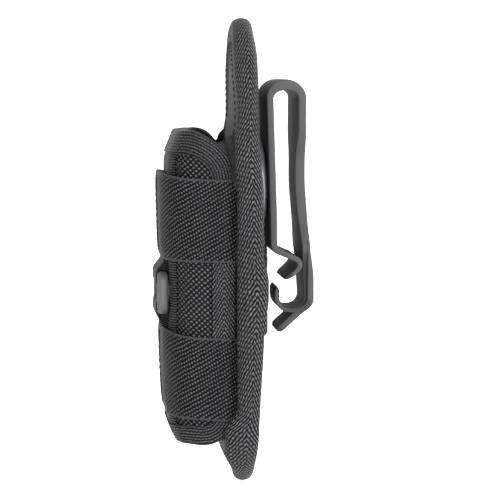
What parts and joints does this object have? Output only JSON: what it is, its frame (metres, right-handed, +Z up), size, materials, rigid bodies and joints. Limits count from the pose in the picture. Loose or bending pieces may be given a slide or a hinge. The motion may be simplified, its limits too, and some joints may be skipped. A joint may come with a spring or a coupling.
{
  "type": "tactical flashlight holster",
  "caption": "Padded belt holster for a tactical flashlight: oval back panel, open nylon pouch with elastic bands, and a swivelling spring belt clip.",
  "frame": {"origin": "centre of the clip's belt slot", "axes": "+Z up along the holster, -Y out of the pouch's front, +Y towards the clip's outer arm, X along the belt"},
  "size_m": [0.062, 0.0574, 0.1712],
  "materials": {
    "lining": "brushed knit",
    "foam": "foam",
    "ballistic": "basket weave nylon",
    "twill_tape": "herringbone tape",
    "webbing": "ribbed webbing",
    "elastic": "twill elastic",
    "hard_plastic": "moulded",
    "clip_plastic": "satin moulded",
    "dome_plastic": "satin",
    "ring_plastic": "satin moulded",
    "snap_black": "gloss black",
    "brass": "polished",
    "rivet_steel": "black"
  },
  "bodies": {
    "clip": {"clip_inner_leg": "clip_plastic", "clip_spring_bend": "clip_plastic"},
    "clip_arm": {"clip_outer_arm": "clip_plastic"},
    "holster": {"panel_front_lining": "lining", "panel_foam_core": "foam", "panel_back_cloth": "ballistic", "panel_edge_binding": "twill_tape", "back_sleeve": "ballistic", "back_sleeve_hem": "twill_tape", "pivot_backing_plate": "hard_plastic", "snap_caps": "snap_black", "snap_rings": "brass", "snap_posts": "brass", "swivel_dome": "dome_plastic", "pivot_rivet": "rivet_steel", "pivot_washer": "rivet_steel", "pouch_shell": "ballistic", "pouch_padding": "foam", "pouch_lining_cloth": "lining", "pouch_top_binding": "twill_tape", "pouch_bottom_binding": "twill_tape", "pouch_rear_bindings": "twill_tape", "front_webbing": "webbing", "upper_elastic_band": "elastic", "lower_elastic_band": "elastic", "accessory_ring": "ring_plastic", "ring_strap_upper": "webbing", "ring_strap_lower": "webbing"}
  },
  "joints": [
    {"name": "holster_swivel", "type": "hinge", "parent": "clip", "child": "holster", "pos_m": [0, -0.009, -0.008], "axis": [0, 1, 0], "continuous": true},
    {"name": "clip_flex", "type": "hinge", "parent": "clip", "child": "clip_arm", "pos_m": [0, -0.0008, 0.0253], "axis": [1, 0, 0], "range_deg": [0, 12], "stiffness_Nm_per_rad": 0.8, "deforming": ["clip_spring_bend"]}
  ]
}
